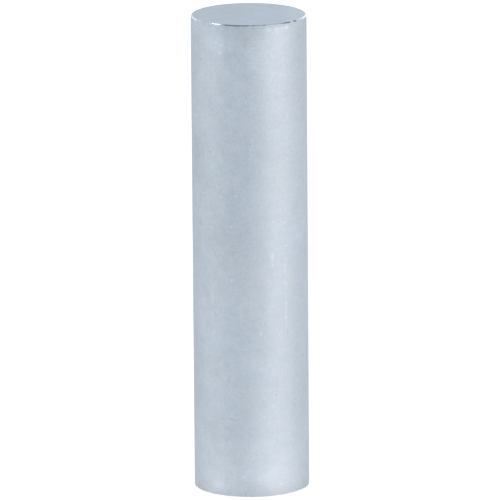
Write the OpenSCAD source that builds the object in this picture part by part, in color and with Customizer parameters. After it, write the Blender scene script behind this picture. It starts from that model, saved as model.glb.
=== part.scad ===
// Solid round aluminium spacer: a length of bar, faced square at both ends, with the sharp edge
// broken on each rim. Millimetres. The origin is the centre of the bottom face, and +Z is the bar's axis.

/* [Body] */
// Diameter of the bar
body_d = 12; // [4:0.5:40]
// Length over the two faced ends
body_l = 50; // [10:1:200]

/* [Edge breaks] */
// How far the edge break cuts in across a faced end
edge_in = 0.15; // [0.05:0.05:0.8]
// How far the edge break runs down the side of the bar
edge_along = 0.2; // [0.05:0.05:1]

/* [Hidden] */
// Facets round the bar, for a preview; the bar is a true cylinder in an exact export
$fn = 180;
body_r = body_d / 2;
// Radius of the flat that is left on each faced end
face_r = body_r - edge_in;

// Half of the bar's section, from its axis out to its side, with the two edge breaks
module half_section() {
    polygon([
        [0, 0],
        [face_r, 0],
        [body_r, edge_along],
        [body_r, body_l - edge_along],
        [face_r, body_l],
        [0, body_l]
    ]);
}

// The bar, turned in one piece
module spacer() {
    color([0.76, 0.80, 0.84])
    rotate_extrude()
    half_section();
}

spacer();
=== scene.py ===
"""A solid round aluminium spacer: a bar faced at both ends and tumbled, on a pale studio floor."""
import math

import bpy
import numpy as np
from mathutils import Matrix, Vector


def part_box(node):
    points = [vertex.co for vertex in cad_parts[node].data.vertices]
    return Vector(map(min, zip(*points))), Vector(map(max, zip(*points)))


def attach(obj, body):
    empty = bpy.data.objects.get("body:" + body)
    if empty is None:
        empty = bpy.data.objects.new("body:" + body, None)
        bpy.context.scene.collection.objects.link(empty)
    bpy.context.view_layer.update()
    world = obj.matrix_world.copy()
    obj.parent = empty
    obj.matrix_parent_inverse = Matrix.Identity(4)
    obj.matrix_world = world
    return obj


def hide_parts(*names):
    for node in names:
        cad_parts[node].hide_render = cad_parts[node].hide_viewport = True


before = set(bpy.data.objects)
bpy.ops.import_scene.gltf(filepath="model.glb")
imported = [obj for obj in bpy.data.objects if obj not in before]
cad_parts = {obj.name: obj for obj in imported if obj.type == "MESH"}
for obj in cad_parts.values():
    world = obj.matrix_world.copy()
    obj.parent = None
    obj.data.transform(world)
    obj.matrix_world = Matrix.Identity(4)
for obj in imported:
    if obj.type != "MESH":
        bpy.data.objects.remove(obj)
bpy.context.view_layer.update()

# ---------------------------------------------------------------------------------------------
# The bar. One length of round aluminium bar, sawn and faced square in a lathe, its two rims
# broken with a file and the whole thing tumbled with others. The tumbling leaves the side full
# of shallow dents, rolls the metal off a little towards each rim and makes the rims uneven.
mm = 0.001
micron = 0.000001
low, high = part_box("spacer")
bar_r = (high.x - low.x) / 2
bar_l = high.z - low.z

TURNS = 640                       # points round the bar
turn = np.linspace(-np.pi, np.pi, TURNS, endpoint=False)    # 0 is the front of the bar, -Y
END, BREAK, SIDE = 0, 1, 2        # the finishes, in the order of the bar's materials


def wander(seed, slowest, fastest):
    """A random wave that closes on itself round the bar, mostly between -1 and 1."""
    draw = np.random.default_rng(seed)
    waves = range(slowest, fastest + 1)
    total = sum(draw.normal() * np.cos(n * turn + draw.uniform(0, 2 * np.pi)) for n in waves)
    return total / np.abs(total).max()


def bump_at(angle, width):
    """1 at an angle round the bar, falling to 0 over a width given in metres of arc."""
    away = (turn - math.radians(angle) + np.pi) % (2 * np.pi) - np.pi
    return np.exp(-(away * bar_r / width) ** 2)


BREAK_IN = 0.15 * mm              # the broken edge, across the end
BREAK_ALONG = 0.16 * mm           # and down the side
BREAK_LEAST = 0.015 * mm
SLOW_WAVES, FAST_WAVES = (2, 9), (12, 110)            # how many to a turn
UNEVEN_IN, UNEVEN_ALONG, RAGGED = 0.14, 0.12, 0.07    # shares of the break: two slow, one fast
BREAK_SHAPE = 1.15                # 1 is a flat bevel, 2 a full round
BREAK_STEPS = 10
CORNER = 0.005 * mm               # the small radius left on either side of the break
ROLL_DEPTH = 24 * micron          # how far the side falls away at a rim
ROLL_REACH = 0.45 * mm
CROWN_DEPTH = 3 * micron          # how far an end face falls away at its rim
CROWN_REACH = 0.6 * mm
END_RINGS = (0.03, 0.3, 0.55, 0.75, 0.87, 0.93, 0.97, 0.985)    # shares of the flat's radius
SIDE_RINGS = (0.005, 0.03, 0.1, 0.16, 0.24, 0.34, 0.46, 0.6, 0.8, 1.05, 1.35)    # mm from the break


def rim(seed, size, nicks):
    """One end of the bar as (radius, depth below the end, finish), from the middle out and down.

    A nick is an angle, a half width in mm, and how much wider and deeper in mm the break is there.
    """
    cut_in = size * BREAK_IN * (
        1 + UNEVEN_IN * wander(seed, *SLOW_WAVES) + RAGGED * wander(seed + 1, *FAST_WAVES))
    cut_along = size * BREAK_ALONG * (
        1 + UNEVEN_ALONG * wander(seed + 2, *SLOW_WAVES) + RAGGED * wander(seed + 3, *FAST_WAVES))
    for angle, width, more_in, more_along in nicks:
        cut_in = cut_in + more_in * mm * bump_at(angle, width * mm)
        cut_along = cut_along + more_along * mm * bump_at(angle, width * mm)
    cut_in = np.maximum(cut_in, BREAK_LEAST)
    cut_along = np.maximum(cut_along, BREAK_LEAST)
    flat = bar_r - cut_in
    rings = []
    for share in END_RINGS:
        crown = CROWN_DEPTH * np.exp(-(flat * (1 - share)) / CROWN_REACH)
        rings.append((flat * share, crown, END))
    rings.append((flat - CORNER, np.full_like(turn, CROWN_DEPTH), END))
    for step in range(BREAK_STEPS + 1):
        t = step / BREAK_STEPS * math.pi / 2
        out = math.sin(t) ** (2 / BREAK_SHAPE)
        down = 1 - math.cos(t) ** (2 / BREAK_SHAPE)
        radius = bar_r - cut_in * (1 - out) - ROLL_DEPTH * out
        depth = cut_along * down + CROWN_DEPTH * (1 - down)
        rings.append((radius, depth, END if step == 0 else BREAK))
    for below in SIDE_RINGS:
        roll = ROLL_DEPTH * math.exp(-below * mm / ROLL_REACH)
        rings.append((bar_r - roll, cut_along + below * mm, SIDE))
    return rings


# The bottom break is only a touch of the file, wider in three places. The top one is full, with
# a long thin stretch and many small nicks along the front.
bottom_rim = rim(5, 0.16, [
    (27, 0.16, 0.06, 0.10), (50, 2.6, 0.05, 0.06), (-72, 1.4, 0.03, 0.04),
    (-30, 0.2, 0.03, 0.04), (150, 3.0, 0.05, 0.07),
])
top_rim = rim(70, 1, [
    (-76, 1.2, -0.01, -0.03), (-58, 0.1, -0.07, -0.07), (-53, 0.08, 0.03, -0.07),
    (-47, 0.08, -0.08, -0.08), (-43, 0.25, -0.05, -0.06), (-36, 0.7, 0.05, 0.05),
    (1, 0.035, -0.07, -0.07), (3, 1.4, 0.025, 0.02), (8.7, 0.03, -0.09, -0.09),
    (12.5, 0.05, -0.06, -0.06), (16, 0.05, 0.05, 0.02), (25, 1.7, -0.09, -0.085),
    (42.5, 0.35, 0.04, 0.05), (47.5, 0.05, -0.09, -0.09), (51.5, 0.38, 0.04, 0.05),
    (68, 1.0, -0.03, -0.05), (118, 0.25, 0.06, 0.08),
])

# Dents: angle in degrees from the front, height, size across and along in mm, depth in microns.
dents = [
    (30, 49.2, 0.22, 0.50, 14), (40.5, 49.1, 0.22, 0.62, 16), (-34, 49.3, 0.30, 0.35, 9),
    (-57, 49.3, 0.25, 0.40, 8), (4, 49.4, 0.45, 0.30, 6), (-20, 8.1, 0.60, 0.14, 4.5),
]
SMALL_DENTS = 200
DENT_HEIGHTS = (0.6, 49.4)        # mm
DENT_SIZES = (0.7, 1.8)           # mm across
DENT_STRETCHES = (0.8, 1.8)       # times taller than wide
DENT_DEPTHS = (1.0, 6.0)          # microns
DENT_ENDS = 2.2                   # in sizes, up or down from its middle
draw = np.random.default_rng(41)
for _ in range(SMALL_DENTS):
    size = draw.uniform(*DENT_SIZES)
    dents.append((draw.uniform(-180, 180), draw.uniform(*DENT_HEIGHTS), size,
                  size * draw.uniform(*DENT_STRETCHES), draw.uniform(*DENT_DEPTHS)))


def dent_depth(height):
    """How far the tumbled side lies inside the true cylinder, all round, at one height."""
    sink = np.zeros_like(turn)
    for angle, place, across, along, depth in dents:
        if np.abs(height - place * mm).min() < DENT_ENDS * along * mm:
            fall = np.exp(-((height - place * mm) / (along * mm)) ** 2)
            sink += depth * micron * fall * bump_at(angle, across * mm)
    return sink


RIM_ZONE = 2.1 * mm               # the rims' own rings end before this
MIDDLE_RINGS = 77
profile = list(bottom_rim)
for height in np.linspace(RIM_ZONE, bar_l - RIM_ZONE, MIDDLE_RINGS):
    profile.append((bar_r, np.full_like(turn, height), SIDE))
for radius, depth, ring_finish in reversed(top_rim):
    profile.append((radius, bar_l - depth, ring_finish))

rings = []                        # rings of points, from the middle of the bottom face, out and up
bands = []                        # the finish of the band that ends at each ring
for n, (radius, height, ring_finish) in enumerate(profile):
    if ring_finish == SIDE:
        radius = radius - dent_depth(height)
    radius = np.broadcast_to(radius, turn.shape)
    rings.append(np.column_stack([radius * np.sin(turn), -radius * np.cos(turn), height]))
    bands.append(ring_finish if n < len(profile) / 2 else profile[n - 1][2])

faces = []
finish = []
for k in range(len(rings) - 1):
    for i in range(TURNS):
        j = (i + 1) % TURNS
        faces.append((k * TURNS + i, k * TURNS + j, (k + 1) * TURNS + j, (k + 1) * TURNS + i))
        finish.append(bands[k + 1])
last = (len(rings) - 1) * TURNS
bottom_middle = len(rings) * TURNS
top_middle = bottom_middle + 1
for i in range(TURNS):
    j = (i + 1) % TURNS
    faces += [(bottom_middle, j, i), (top_middle, last + i, last + j)]
    finish += [END, END]
points = np.concatenate(rings + [np.array([[0, 0, 0], [0, 0, bar_l]])])
mesh = bpy.data.meshes.new("spacer_bar")
mesh.from_pydata(points.tolist(), [], faces)
mesh.polygons.foreach_set("material_index", finish)
mesh.polygons.foreach_set("use_smooth", [True] * len(faces))
mesh.update()
bar = bpy.data.objects.new("spacer_bar", mesh)
bpy.context.collection.objects.link(bar)
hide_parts("spacer")
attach(bar, "root")


# ---------------------------------------------------------------------------------------------
# The skin of the metal. Bare aluminium, dulled by the air and by handling: wherever it was cut,
# filed or tumbled it has a fine grain, a soft mottle and a faint drift between warm and cool.
def add(tree, kind, **settings):
    node = tree.nodes.new("ShaderNode" + kind)
    for name, value in settings.items():
        setattr(node, name, value)
    return node


def wire(tree, source, target):
    tree.links.new(source, target)


def sums(tree, operation, a, b, c=None):
    """A maths node whose inputs are sockets or plain numbers."""
    node = add(tree, "Math", operation=operation)
    for socket, value in zip(node.inputs, (a, b, c)):
        if isinstance(value, (int, float)):
            socket.default_value = value
        elif value is not None:
            wire(tree, value, socket)
    return node.outputs[0]


def between(tree, mask, a, b):
    """A colour between two colours, by a mask. Either colour may be a socket."""
    node = add(tree, "Mix", data_type="RGBA")
    wire(tree, mask, node.inputs["Factor"])
    for socket, colour in ((node.inputs[6], a), (node.inputs[7], b)):
        if isinstance(colour, tuple):
            socket.default_value = (*colour, 1)
        else:
            wire(tree, colour, socket)
    return node.outputs[2]


def times(tree, a, b):
    """One colour multiplied by another."""
    node = add(tree, "Mix", data_type="RGBA", blend_type="MULTIPLY")
    node.inputs["Factor"].default_value = 1.0
    wire(tree, a, node.inputs[6])
    wire(tree, b, node.inputs[7])
    return node.outputs[2]


def noise(tree, place, per_metre, detail, shift):
    """Noise with equal strength at every size, from one over per_metre down, about 0.5."""
    moved = add(tree, "VectorMath", operation="ADD")
    moved.inputs[1].default_value = shift
    wire(tree, place, moved.inputs[0])
    node = add(tree, "TexNoise")
    node.inputs["Detail"].default_value = detail
    node.inputs["Roughness"].default_value = 1.0
    wire(tree, moved.outputs[0], node.inputs["Vector"])
    wire(tree, per_metre, node.inputs["Scale"])
    return node.outputs["Fac"]


def swing(tree, value, strength):
    """A noise about 0.5 made into one about 0, of a given strength."""
    return sums(tree, "MULTIPLY", sums(tree, "SUBTRACT", value, 0.5), strength)


def new_group(name, inputs, outputs):
    """A shader node group, with its input and output nodes."""
    tree = bpy.data.node_groups.new(name, "ShaderNodeTree")
    for label, kind, value in inputs:
        socket = tree.interface.new_socket(label, in_out="INPUT", socket_type="NodeSocket" + kind)
        if value is not None:
            socket.default_value = value
    for label, kind in outputs:
        tree.interface.new_socket(label, in_out="OUTPUT", socket_type="NodeSocket" + kind)
    return tree, tree.nodes.new("NodeGroupInput"), tree.nodes.new("NodeGroupOutput")


GRAIN_FINER = 36.0                # how much finer the grain is than the mottle
DRIFT_FINER = 1.8
MOTTLE_DETAIL, GRAIN_DETAIL, DRIFT_DETAIL = 6, 1, 5
COOL, WARM = (0.948, 1.0, 1.052), (1.052, 1.0, 0.948)
GREENISH, VIOLET = (0.976, 1.024, 0.976), (1.024, 0.976, 1.024)
skin_group, given, made = new_group(
    "metal_skin",
    [("Place", "Vector", None), ("Blotches per metre", "Float", 150.0), ("Contrast", "Float", 0.3),
     ("Grain", "Float", 0.05)],
    [("Tone", "Float"), ("Relief", "Float"), ("Drift", "Color")])
place = given.outputs["Place"]
per_metre = given.outputs["Blotches per metre"]
finest = sums(skin_group, "MULTIPLY", per_metre, GRAIN_FINER)
relief = noise(skin_group, place, per_metre, MOTTLE_DETAIL, (0, 0, 0))
grain = noise(skin_group, place, finest, GRAIN_DETAIL, (0.4, 0.4, 0.6))
tone = sums(skin_group, "ADD", swing(skin_group, relief, given.outputs["Contrast"]),
            swing(skin_group, grain, given.outputs["Grain"]))
finer = sums(skin_group, "MULTIPLY", per_metre, DRIFT_FINER)
warmth = noise(skin_group, place, finer, DRIFT_DETAIL, (0.3, 0.1, 0.5))
warmth = between(skin_group, warmth, COOL, WARM)
blush = noise(skin_group, place, finer, DRIFT_DETAIL, (0.7, 0.9, 0.2))
blush = between(skin_group, blush, GREENISH, VIOLET)
wire(skin_group, relief, made.inputs["Relief"])
wire(skin_group, sums(skin_group, "ADD", tone, 0.5), made.inputs["Tone"])
wire(skin_group, times(skin_group, warmth, blush), made.inputs["Drift"])


def use_group(tree, group, place, **values):
    node = add(tree, "Group", node_tree=group)
    wire(tree, place, node.inputs["Place"])
    for name, value in values.items():
        node.inputs[name.replace("_", " ")].default_value = value
    return node


def blank_metal(name):
    """A new bare metal on the bar: its node tree, its shader and its place on the bar."""
    material = bpy.data.materials.new(name)
    material.use_nodes = True
    tree = material.node_tree
    shader = tree.nodes["Principled BSDF"]
    shader.inputs["Metallic"].default_value = 1.0
    bar.data.materials.append(material)
    return tree, shader, add(tree, "TexCoord").outputs["Object"]


def toned(tree, tone, colour):
    """A colour from half to one and a half times its strength, as the tone goes from 0 to 1."""
    return between(tree, tone, tuple(0.5 * c for c in colour), tuple(1.5 * c for c in colour))


def worn(tree, shader, relief, roughness, swing_down, depth):
    """Roughness that falls where the relief stands high, and the relief itself as a bump."""
    spread = sums(tree, "MULTIPLY_ADD", relief, -swing_down, roughness + swing_down / 2)
    wire(tree, spread, shader.inputs["Roughness"])
    bump = add(tree, "Bump")
    bump.inputs["Distance"].default_value = depth
    wire(tree, relief, bump.inputs["Height"])
    wire(tree, bump.outputs["Normal"], shader.inputs["Normal"])


# ---------------------------------------------------------------------------------------------
# The faced ends. Turned flat in the lathe with a fine feed, so the tool's rings are too small to
# see and the face is an even satin grey, a little lighter towards the right.
def ramp(tree, value, start, end, at_start, at_end, kind="SMOOTHSTEP"):
    """A value that goes from at_start to at_end while another goes from start to end."""
    node = add(tree, "MapRange", interpolation_type=kind)
    for name, number in (("From Min", start), ("From Max", end),
                         ("To Min", at_start), ("To Max", at_end)):
        node.inputs[name].default_value = number
    wire(tree, value, node.inputs["Value"])
    return node.outputs[0]


def coordinate(tree, place, axis):
    """How far a place lies along one axis."""
    node = add(tree, "SeparateXYZ")
    wire(tree, place, node.inputs[0])
    return node.outputs[axis]


def spot(tree, place, middle, radius, stretch, strength):
    """A soft spot: its strength at its middle, falling to 0 at its radius, stretched in height."""
    offset = add(tree, "VectorMath", operation="SUBTRACT")
    offset.inputs[1].default_value = middle
    wire(tree, place, offset.inputs[0])
    squeezed = add(tree, "VectorMath", operation="MULTIPLY")
    squeezed.inputs[1].default_value = (1, 1, 1 / stretch)
    wire(tree, offset.outputs[0], squeezed.inputs[0])
    length = add(tree, "VectorMath", operation="LENGTH")
    wire(tree, squeezed.outputs[0], length.inputs[0])
    return ramp(tree, length.outputs["Value"], 0, radius, strength, 0)


END_COLOUR = (0.443, 0.532, 0.630)
END_TINT = (0.8, 0.8, 0.8)        # at a grazing view
LIGHTER_FROM, LIGHTER_TO = 0.3, 1.1    # in radii, to the right of the middle
LIGHTER_BY = 0.080
DARKER_MIDDLE = (-3.2 * mm, 1.0 * mm, bar_l)    # a darker patch on the top face
DARKER_REACH = 6.0 * mm
DARKER_BY = -0.050
END_RELIEF = 4 * micron
tree, shader, place = blank_metal("faced_end")
skin = use_group(tree, skin_group, place, Blotches_per_metre=200.0, Contrast=0.2, Grain=0.03)
lighter_right = ramp(tree, coordinate(tree, place, "X"), LIGHTER_FROM * bar_r, LIGHTER_TO * bar_r,
              0, LIGHTER_BY)
tone = sums(tree, "ADD", skin.outputs["Tone"], lighter_right)
tone = sums(tree, "ADD", tone, spot(tree, place, DARKER_MIDDLE, DARKER_REACH, 1, DARKER_BY))
colour = times(tree, toned(tree, tone, END_COLOUR), skin.outputs["Drift"])
wire(tree, colour, shader.inputs["Base Color"])
shader.inputs["Specular Tint"].default_value = (*END_TINT, 1)
worn(tree, shader, skin.outputs["Relief"], roughness=0.38, swing_down=0.3, depth=END_RELIEF)

# ---------------------------------------------------------------------------------------------
# The broken edges. The file leaves a narrow, smooth and brighter bevel round each end, which the
# tumbling has made uneven.
EDGE_COLOUR = (0.635, 0.69, 0.755)
EDGE_TINT = (0.87, 0.88, 0.89)    # at a grazing view
EDGE_RELIEF = 12 * micron
tree, shader, place = blank_metal("broken_edge")
skin = use_group(tree, skin_group, place, Blotches_per_metre=600.0, Contrast=2.0, Grain=0.1)
wire(tree, toned(tree, skin.outputs["Tone"], EDGE_COLOUR), shader.inputs["Base Color"])
shader.inputs["Specular Tint"].default_value = (*EDGE_TINT, 1)
worn(tree, shader, skin.outputs["Relief"], roughness=0.16, swing_down=0.4, depth=EDGE_RELIEF)

# ---------------------------------------------------------------------------------------------
# The tumbled side. Loose stones and other spacers leave a dull, cool grey skin, with pale and
# dark flecks where it was struck, lighter and darker patches, bright knocks and tiny dark pits.
# Painted into its colour are light and shade along the foot and under the top rim, glints in
# the light bands and the shade in the pits.
SIDE_COLOUR = (0.580, 0.647, 0.7255)
SIDE_TINT = (0.785, 0.82, 0.855)      # at a grazing view
KNOCK_AND_GLINT_COLOUR = (0.86, 0.89, 0.93)
RUST_COLOUR = (0.71, 0.60, 0.44)
PIT_SHADE_SHARE = 0.16                        # the colour's share left by the painted shade in the deepest pit
STRUCK_LOW, STRUCK_HIGH = 0.6, 1.45   # how much the flecks show at the foot and at the top
GRAIN_LOW, GRAIN_HIGH = 0.155, 0.245  # and the grain
SIDE_RELIEF = 15 * micron
SMALLEST, FAINTEST = 0.4, 0.25        # flecks, as shares of the size and strength
PATCH_COARSER = 0.12                  # flecks come in patches, this much coarser than their cells
PATCH_DETAIL = 3
PATCH_FROM, PATCH_STEEPNESS = 0.36, 5.0
PATCH_LEAST, PATCH_MOST = 0.1, 1.6

fleck_group, given, made = new_group(
    "struck_flecks",
    [("Place", "Vector", None), ("Cells per metre", "Float", 1200.0), ("Share", "Float", 0.2),
     ("Size", "Float", 0.09)],
    [("Mask", "Float")])
per_metre = given.outputs["Cells per metre"]
cells = add(fleck_group, "TexVoronoi", feature="F1")
wire(fleck_group, given.outputs["Place"], cells.inputs["Vector"])
wire(fleck_group, per_metre, cells.inputs["Scale"])
draws = add(fleck_group, "SeparateColor")
wire(fleck_group, cells.outputs["Color"], draws.inputs[0])
chosen = sums(fleck_group, "LESS_THAN", draws.outputs[0], given.outputs["Share"])
size = sums(fleck_group, "ADD", draws.outputs[1], SMALLEST)
size = sums(fleck_group, "MULTIPLY", given.outputs["Size"], size)
near = sums(fleck_group, "DIVIDE", cells.outputs["Distance"], size)
near = sums(fleck_group, "MAXIMUM", sums(fleck_group, "SUBTRACT", 1.0, near), 0.0)
coarse = sums(fleck_group, "MULTIPLY", per_metre, PATCH_COARSER)
patch = noise(fleck_group, given.outputs["Place"], coarse, PATCH_DETAIL, (0.2, 0.6, 0.9))
patch = sums(fleck_group, "SUBTRACT", patch, PATCH_FROM)
patch = sums(fleck_group, "MULTIPLY", patch, PATCH_STEEPNESS)
patch = sums(fleck_group, "MAXIMUM", sums(fleck_group, "MINIMUM", patch, PATCH_MOST), PATCH_LEAST)
strength = sums(fleck_group, "ADD", draws.outputs[2], FAINTEST)
strength = sums(fleck_group, "MULTIPLY", chosen, strength)
strength = sums(fleck_group, "MULTIPLY", strength, patch)
wire(fleck_group, sums(fleck_group, "MULTIPLY", near, strength), made.inputs["Mask"])

# Flecks: cells per metre, the share of cells that hold one, its size, and how light (+) or
# dark (-) it is.
flecks = [(1500.0, 0.9, 0.13, 0.26), (900.0, 0.3, 0.13, 0.28), (1170.0, 0.3, 0.14, -0.18)]

# Marks: angle in degrees from the front, height and radius in mm, how many times taller than
# wide, and how strong. Patches are lighter (+) or darker (-) than the skin around them; some
# of them are painted light and shade, as noted below.
patches_and_painted_light = [
    (-30, 48.4, 3.4, 0.6, 0.075), (-24, 41.7, 3.6, 0.7, 0.045), (-62, 36.5, 3.4, 1.6, -0.050),
    (-8, 9.5, 1.8, 2.6, -0.030), (14, 9.0, 2.6, 2.3, 0.040), (-30, 10.5, 2.4, 1.6, 0.042),
    # Along the foot, the patches at -33, -23, -5 and 14 degrees are painted light, and those at -1
    # and 66 degrees painted shade, of the paper seen in the metal.
    (-33, 1.1, 3.6, 0.5, 0.085), (65, 28.0, 1.8, 2.2, 0.045), (-70, 11, 2.8, 2.0, -0.040),
    (4, 46.3, 2.6, 0.7, 0.045), (14, 2.2, 2.8, 0.7, 0.055), (-37, 17, 2.8, 1.2, 0.035),
    (-50, 32.6, 2.2, 1.0, -0.050), (9, 22.5, 2.0, 0.8, -0.040), (28, 40, 2.0, 0.8, -0.030),
    (13, 13.8, 2.4, 0.8, 0.045), (22, 32.9, 2.0, 1.2, -0.045), (-56, 22.5, 2.0, 1.3, -0.035),
    (-20, 22.6, 1.8, 0.8, 0.030), (-56, 13.4, 2.0, 0.9, -0.040), (-23, 2.6, 2.2, 0.8, 0.030),
    (-32, 28.7, 3.6, 2.2, -0.030), (27, 37, 2.8, 1.8, -0.045), (-25, 18.5, 5.5, 1.1, 0.028),
    (58, 28, 2.8, 1.8, 0.030), (-40, 45.5, 3.0, 1.6, 0.020), (-5, 3.0, 7.0, 0.6, 0.030),
    # (2, 48.9) is painted shade under the front of the top rim, and (-36, 48.3) a painted glow
    # below the glint on the top rim.
    (2, 48.9, 5.6, 0.27, -0.050), (-36, 48.3, 2.0, 0.9, 0.060), (-1, 1.0, 2.5, 0.6, -0.085),
    (-35, 0.9, 1.0, 1.0, 0.050), (66, 1.4, 3.0, 1.3, -0.050), (-45, 2.2, 0.5, 0.6, 0.050),
    # (81, 25) is a painted light band down the right edge.
    (-13, 4.5, 2.6, 1.6, -0.040), (-57, 5, 3.0, 1.0, 0.030), (81, 25, 2.4, 16, 0.050),
    # (30, 49.78) and (-8, 49.75) are painted dark reflections along the top rim, and (40.5, 49.55)
    # and (30, 49.3) painted highlights over two dents under it. The thin light streaks and spots
    # from 14.5 to 38.2 degrees on the right and at -41.3 degrees on the left are painted glints in
    # the light bands.
    (30, 49.78, 3.4, 0.09, -0.20), (-8, 49.75, 3.6, 0.15, -0.04),
    (40.5, 49.55, 0.36, 1.3, 0.20), (30, 49.3, 0.45, 1.5, 0.09), (37.7, 20.0, 0.24, 12, 0.07),
    (37.2, 24.5, 0.20, 9, 0.06), (22.2, 25.4, 0.28, 3.0, 0.11), (37.3, 18.9, 0.20, 1.6, 0.12),
    (37.2, 22.6, 0.20, 1.5, 0.10), (38.0, 20.4, 0.18, 1.5, 0.11), (38.2, 17.9, 0.16, 1.6, 0.09),
    (19, 23.0, 0.30, 1.0, 0.09), (18, 19.7, 0.20, 1.4, 0.09), (-41.3, 21.0, 0.30, 12, 0.045),
    (14.5, 42.8, 0.16, 4.0, 0.07), (32.5, 44.6, 0.22, 1.0, 0.08), (-31, 5.0, 0.50, 5.0, 0.030),
    (-25, 4.2, 0.40, 5.0, 0.025),
]
# Bright spots: some are knocks, where the metal was struck bright; those in the two light bands are
# painted glints, and those just under the top rim, from -62.5 to -26 degrees, a painted glint and
# glow below the glint on the rim.
knocks_and_painted_glints = [
    (5, 44.5, 0.13, 1, 0.7), (-19.5, 43.1, 0.13, 1, 0.6), (-28.5, 47.8, 0.26, 0.5, 0.75),
    (-29.5, 47.0, 0.34, 1, 0.42), (-62.5, 49.0, 0.20, 1, 0.5), (-14, 32.0, 0.15, 1, 0.75),
    (-39.5, 34.9, 0.15, 1, 0.6), (40.5, 35.7, 0.13, 1, 0.6), (-19.5, 28.7, 0.15, 1, 0.6),
    (23.5, 29.2, 0.14, 1, 0.5), (35.5, 29.0, 0.15, 1, 0.6), (37.5, 26.5, 0.14, 1, 0.6),
    (-39.5, 17.3, 0.13, 1.6, 0.55), (10, 17.4, 0.16, 2.2, 0.55), (29.5, 17.2, 0.14, 1, 0.7),
    (-41, 10.1, 0.14, 1, 0.6), (-7.5, 2.1, 0.14, 1, 0.6), (30.5, 1.2, 0.2, 1.5, 0.45),
    (-34.7, 32.9, 0.15, 1.3, 0.5), (-52.6, 31.9, 0.13, 1, 0.5), (-29.3, 31.9, 0.14, 1, 0.5),
    (-42.4, 31.7, 0.13, 1, 0.45), (-32.5, 31.3, 0.12, 1, 0.4), (-41.3, 28.5, 0.13, 1, 0.45),
    (-46, 25.4, 0.13, 1, 0.4), (1.7, 33.0, 0.12, 1, 0.4), (5, 29.9, 0.12, 1, 0.4),
    (5, 47.6, 0.12, 1, 0.5), (-16.7, 41.6, 0.12, 1, 0.4), (-7, 40.6, 0.12, 1, 0.4),
    (-31.5, 43.4, 0.14, 1, 0.35), (-60.4, 46.3, 0.14, 1, 0.4), (-37, 46.2, 0.12, 1, 0.35),
    (22.6, 24.6, 0.30, 1.1, 0.33), (18.3, 18.4, 0.17, 1.0, 0.35), (-36, 34.5, 0.13, 1, 0.45),
    (-39, 34.0, 0.13, 1, 0.4), (-36, 33.5, 0.14, 1, 0.4), (-42.5, 29.2, 0.12, 1, 0.35),
    (-37.5, 29.2, 0.13, 1, 0.4), (-34.5, 28.6, 0.13, 1, 0.35), (35, 28.2, 0.12, 1, 0.35),
    (-7.5, 26.2, 0.12, 1, 0.4), (-37, 49.5, 0.24, 1.3, 0.42), (-26, 49.5, 0.16, 1, 0.35),
]
# Pits: dark spots whose darkness is painted shade, in the pits and in the short scratch low on the
# left.
pit_shade = [
    (-43.5, 36.4, 0.15, 1, 0.46), (-49.5, 26.8, 0.14, 1, 0.34), (39, 17.4, 0.13, 2.5, 0.19),
    (35.5, 15.8, 0.12, 1, 0.22), (25.5, 10.8, 0.13, 1, 0.40), (-18.8, 8.2, 0.44, 0.4, 0.17),
    (-16.5, 8.05, 0.28, 0.5, 0.10), (-23.5, 8.25, 0.65, 0.4, 0.06), (-29, 8.2, 0.45, 0.5, 0.06),
]
rust_specks = [(-51.5, 40.6, 0.42, 1, 0.34)]


def mark(tree, place, angle, height, radius, stretch, strength):
    """One soft mark on the side, at an angle and a height."""
    turned = math.radians(angle)
    middle = (bar_r * math.sin(turned), -bar_r * math.cos(turned), height * mm)
    return spot(tree, place, middle, radius * mm, stretch, strength)


def marks(tree, place, rows):
    """All the marks of one table in one mask."""
    total = mark(tree, place, *rows[0])
    for row in rows[1:]:
        total = sums(tree, "ADD", total, mark(tree, place, *row))
    return total


def by_height(tree, place, at_foot, at_top):
    """A value that goes evenly from the foot of the bar to its top."""
    return ramp(tree, coordinate(tree, place, "Z"), 0, bar_l, at_foot, at_top, kind="LINEAR")


tree, shader, place = blank_metal("tumbled_side")
skin = use_group(tree, skin_group, place, Blotches_per_metre=150.0, Contrast=0.34)
wire(tree, by_height(tree, place, GRAIN_LOW, GRAIN_HIGH), skin.inputs["Grain"])
tone = sums(tree, "ADD", skin.outputs["Tone"], marks(tree, place, patches_and_painted_light))
shown = by_height(tree, place, STRUCK_LOW, STRUCK_HIGH)
for per_metre, share, size, strength in flecks:
    struck = use_group(tree, fleck_group, place, Cells_per_metre=per_metre, Share=share, Size=size)
    mask = sums(tree, "MULTIPLY", struck.outputs["Mask"], shown)
    tone = sums(tree, "MULTIPLY_ADD", mask, strength, tone)
colour = times(tree, toned(tree, tone, SIDE_COLOUR), skin.outputs["Drift"])
# The bright knocks and the painted glints go into the colour here.
colour = between(tree, marks(tree, place, knocks_and_painted_glints), colour, KNOCK_AND_GLINT_COLOUR)
pit_shade_colour = tuple(PIT_SHADE_SHARE * c for c in SIDE_COLOUR)
# The pits' darkness is painted shade.
colour = between(tree, marks(tree, place, pit_shade), colour, pit_shade_colour)
colour = between(tree, marks(tree, place, rust_specks), colour, RUST_COLOUR)
wire(tree, colour, shader.inputs["Base Color"])
shader.inputs["Specular Tint"].default_value = (*SIDE_TINT, 1)
worn(tree, shader, skin.outputs["Relief"], roughness=0.42, swing_down=0.5, depth=SIDE_RELIEF)

# ---------------------------------------------------------------------------------------------
# The camera. A long lens a little above the table, close to level, which sees the whole bar.
CAMERA_DISTANCE = 0.913
CAMERA_RISE = 12.92               # degrees above level
CAMERA_ROLL = -0.434
FILM_WIDTH, FOCAL_LENGTH = 36, 632.3    # mm
NEAREST, FARTHEST = 0.01, 20      # metres
AIM_OFF = Vector((-0.037 * mm, 0, -0.028 * mm))
centre = (low + high) / 2


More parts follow.
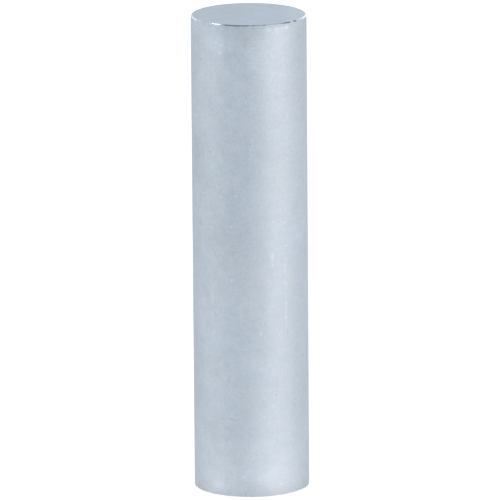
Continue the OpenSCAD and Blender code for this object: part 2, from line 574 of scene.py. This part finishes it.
def toward(azimuth, elevation):
    """The direction at an azimuth from the front, turning to the right, and an elevation."""
    a, e = math.radians(azimuth), math.radians(elevation)
    return Vector((math.sin(a) * math.cos(e), -math.cos(a) * math.cos(e), math.sin(e)))


scene = bpy.context.scene
scene.view_settings.view_transform = "Standard"
camera = bpy.data.objects.new("camera", bpy.data.cameras.new("camera"))
bpy.context.collection.objects.link(camera)
scene.camera = camera
camera.data.sensor_width = FILM_WIDTH
camera.data.lens = FOCAL_LENGTH
camera.data.clip_start = NEAREST
camera.data.clip_end = FARTHEST
camera.location = centre + AIM_OFF + toward(0, CAMERA_RISE) * CAMERA_DISTANCE
tilt = Matrix.Rotation(math.radians(90 - CAMERA_RISE), 3, "X")
roll = Matrix.Rotation(math.radians(CAMERA_ROLL), 3, "Z")
camera.rotation_euler = (tilt @ roll).to_euler()

# ---------------------------------------------------------------------------------------------
# The floor. A wide sheet of white paper. In the metal it shows a soft pool of light in front of
# the bar and a thin shadow close round the foot.
FLOOR_HALF = 2.0
FLOOR_DROP = 10 * micron          # kept just clear of the bar
PAPER = (0.8, 0.8, 0.8)
PAPER_GLOW = 0.6
WHITE = (1.0, 1.0, 1.0)
POOL_PLACE = (1 * mm, -19 * mm, 0)
POOL_REACH = 40 * mm
POOL_BRIGHT, POOL_EDGE = 1.085, 0.92
SHADE_REACH = 4 * mm              # the shadow, from the foot outwards
FOOT_SHADE = 0.84
PAINTED_WARMTH_REACH = 16 * mm            # painted warm light on the paper near the foot, seen in the metal
PAINTED_FOOT_WARMTH = (1.024, 0.997, 0.972)
floor_mesh = bpy.data.meshes.new("floor")
corners = [(x * FLOOR_HALF, y * FLOOR_HALF, 0) for x, y in ((-1, -1), (1, -1), (1, 1), (-1, 1))]
floor_mesh.from_pydata(corners, [], [(0, 1, 2, 3)])
floor = bpy.data.objects.new("floor", floor_mesh)
bpy.context.collection.objects.link(floor)
floor.location.z = low.z - FLOOR_DROP
paper = bpy.data.materials.new("white_paper")
paper.use_nodes = True
floor.data.materials.append(paper)
tree = paper.node_tree
tree.nodes.clear()
path = add(tree, "LightPath")
matt = add(tree, "BsdfDiffuse")
matt.inputs["Color"].default_value = (*PAPER, 1)
glow = add(tree, "Emission")
seen = sums(tree, "MAXIMUM", path.outputs["Is Camera Ray"], path.outputs["Is Transmission Ray"])
wire(tree, sums(tree, "MULTIPLY", seen, PAPER_GLOW), glow.inputs["Strength"])
lit = add(tree, "AddShader")
wire(tree, matt.outputs[0], lit.inputs[0])
wire(tree, glow.outputs[0], lit.inputs[1])
place = add(tree, "TexCoord").outputs["Object"]


def rings_round(tree, place, middle, start, end, at_start, at_end):
    """A value that goes smoothly from one to another, going out from a place on the floor."""
    away = add(tree, "VectorMath", operation="DISTANCE")
    away.inputs[1].default_value = middle
    wire(tree, place, away.inputs[0])
    return ramp(tree, away.outputs["Value"], start, end, at_start, at_end)


pool = rings_round(tree, place, POOL_PLACE, 0, POOL_REACH, POOL_BRIGHT, POOL_EDGE)
shade = rings_round(tree, place, (0, 0, 0), bar_r, bar_r + SHADE_REACH, FOOT_SHADE, 1)
# Painted warm light on the paper, fading out from the foot.
away = rings_round(tree, place, (0, 0, 0), bar_r, bar_r + PAINTED_WARMTH_REACH, 0, 1)
mirrored = add(tree, "Emission")
wire(tree, between(tree, away, PAINTED_FOOT_WARMTH, WHITE), mirrored.inputs["Color"])
wire(tree, sums(tree, "MULTIPLY", pool, shade), mirrored.inputs["Strength"])
pick = add(tree, "MixShader")
wire(tree, path.outputs["Is Glossy Ray"], pick.inputs[0])
wire(tree, lit.outputs[0], pick.inputs[1])
wire(tree, mirrored.outputs[0], pick.inputs[2])
wire(tree, pick.outputs[0], add(tree, "OutputMaterial").inputs["Surface"])

# ---------------------------------------------------------------------------------------------
# The light tent. White cloth all round, brighter behind the bar, with cooler and darker parts:
# the open front, the hole at the top, and the gaps where its sheets meet.
# Azimuth and elevation, the half angles inside which a part is full and outside which it is gone.
tent_parts = [
    (180, 8, 30, 60, (1.15, 1.15, 1.15)),       # bright back
    (156, 2, 8, 24, (1.55, 1.55, 1.55)),        # brighter still, low on the right of it
    (0, 90, 28, 50, (0.37, 0.445, 0.50)),       # open top
    (-26, 10, 10, 54, (0.420, 0.520, 0.590)),   # open front
    (-118, 37, 14, 31, (0.66, 0.69, 0.70)),     # dull fold on the left
    (70, 45, 22, 38, (0.56, 0.585, 0.60)),      # dull fold on the right
    (-47, 80, 17, 29, (0.300, 0.305, 0.355)),   # gap over the front
    (117, 43, 11, 16, (0.225, 0.228, 0.270)),   # gap on the right
]
world = bpy.data.worlds.new("light_tent")
scene.world = world
world.use_nodes = True
tree = world.node_tree
tree.nodes.clear()
ahead = add(tree, "TexCoord").outputs["Generated"]
cloth = WHITE
for azimuth, elevation, full, gone, shade in tent_parts:
    facing = add(tree, "VectorMath", operation="DOT_PRODUCT")
    facing.inputs[1].default_value = toward(azimuth, elevation)
    wire(tree, ahead, facing.inputs[0])
    inside = ramp(tree, facing.outputs["Value"],
                  math.cos(math.radians(gone)), math.cos(math.radians(full)), 0, 1)
    cloth = between(tree, inside, cloth, shade)
sky = add(tree, "Background")
straight_on = add(tree, "LightPath").outputs["Is Camera Ray"]
wire(tree, between(tree, straight_on, cloth, WHITE), sky.inputs["Color"])
wire(tree, sky.outputs[0], add(tree, "OutputWorld").inputs["Surface"])

# ---------------------------------------------------------------------------------------------
# The softboxes. A wide, low and slightly warm one on the right makes the broad light band down
# the side, and a small one high on the left makes the glint on the top rim.
LAMP_DISTANCE = 1.5


def softbox(name, azimuth, elevation, width, height, power, colour):
    """A flat lamp that faces the bar, out of the camera's sight. Metres and watts."""
    lamp = bpy.data.lights.new(name, "AREA")
    lamp.shape = "RECTANGLE"
    lamp.size = width
    lamp.size_y = height
    lamp.energy = power
    lamp.color = colour
    box = bpy.data.objects.new(name, lamp)
    bpy.context.collection.objects.link(box)
    box.location = centre + toward(azimuth, elevation) * LAMP_DISTANCE
    box.rotation_euler = toward(azimuth, elevation).to_track_quat("Z", "Y").to_euler()
    box.visible_camera = False


softbox("softbox_right", azimuth=60.5, elevation=9, width=1.5, height=0.48, power=4.55,
        colour=(1.0, 0.90, 0.835))
softbox("softbox_left", azimuth=-106, elevation=51, width=0.25, height=0.3, power=0.51,
        colour=WHITE)
